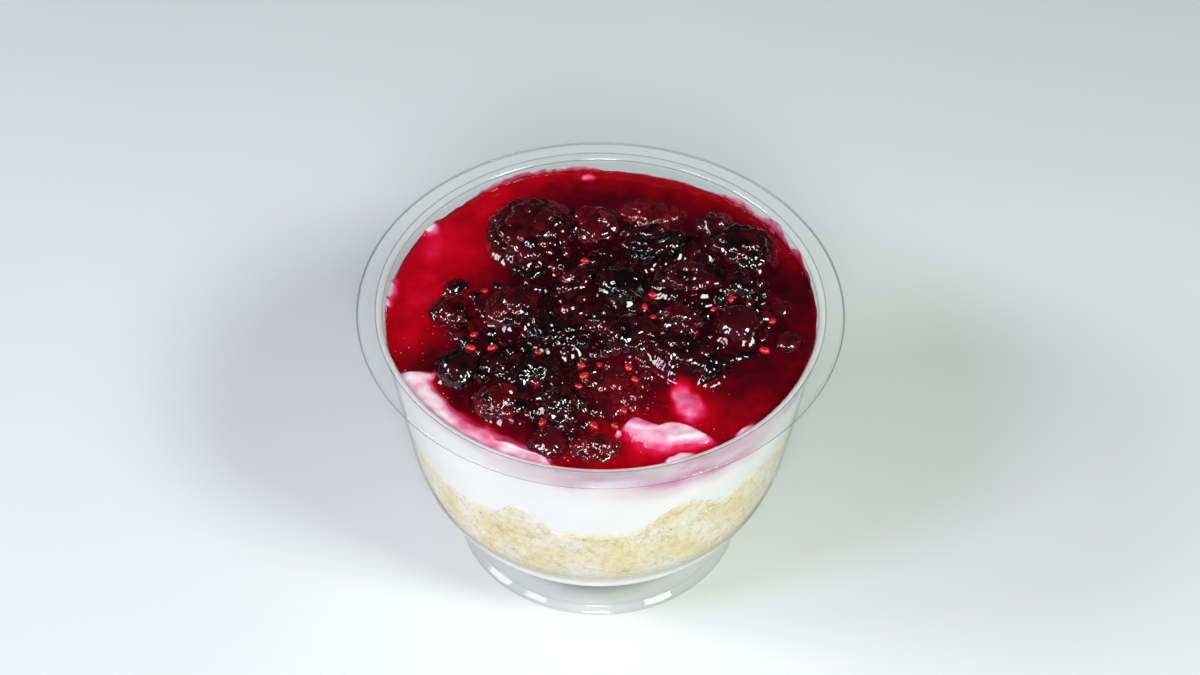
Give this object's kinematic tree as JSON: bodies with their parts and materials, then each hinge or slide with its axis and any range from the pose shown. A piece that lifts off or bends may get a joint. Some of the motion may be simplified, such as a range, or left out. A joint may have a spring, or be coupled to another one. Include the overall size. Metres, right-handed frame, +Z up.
{
  "type": "mixed berry cheesecake cup",
  "caption": "Clear footed dessert cup filled in layers with biscuit crumbs, white cream cheese and a glossy red sauce that carries a heap of soft dark berries",
  "frame": {"origin": "on the cup's axis, on the surface that the foot stands on", "axes": "+Z up through the middle of the rim; -Y points to the side that the picture shows; +X is to the right in the picture"},
  "size_m": [0.095, 0.095, 0.0616],
  "materials": {
    "clear_cup": "clear, glossy",
    "biscuit": "dry crumbs, matt",
    "cream": "smooth, satin",
    "sauce": "wet, glossy",
    "crushed": "wet, glossy",
    "dark_berry": "wet, glossy",
    "red_berry": "wet, glossy",
    "round_berry": "wet, glossy"
  },
  "bodies": {
    "root": {"berry_sauce": "sauce", "biscuit_base": "biscuit", "bramble_1": "dark_berry", "bramble_2": "dark_berry", "bramble_3": "dark_berry", "bramble_4": "dark_berry", "bramble_5": "dark_berry", "bramble_6": "dark_berry", "bramble_7": "dark_berry", "bramble_8": "dark_berry", "cream_cheese": "cream", "crushed_berries": "crushed", "cup": "clear_cup", "red_bramble_1": "red_berry", "red_bramble_2": "red_berry", "red_bramble_3": "red_berry", "red_bramble_4": "red_berry", "red_bramble_5": "red_berry", "red_bramble_6": "red_berry", "round_berry_1": "round_berry", "round_berry_2": "round_berry", "round_berry_3": "round_berry", "round_berry_4": "round_berry", "round_berry_5": "round_berry"}
  },
  "joints": []
}
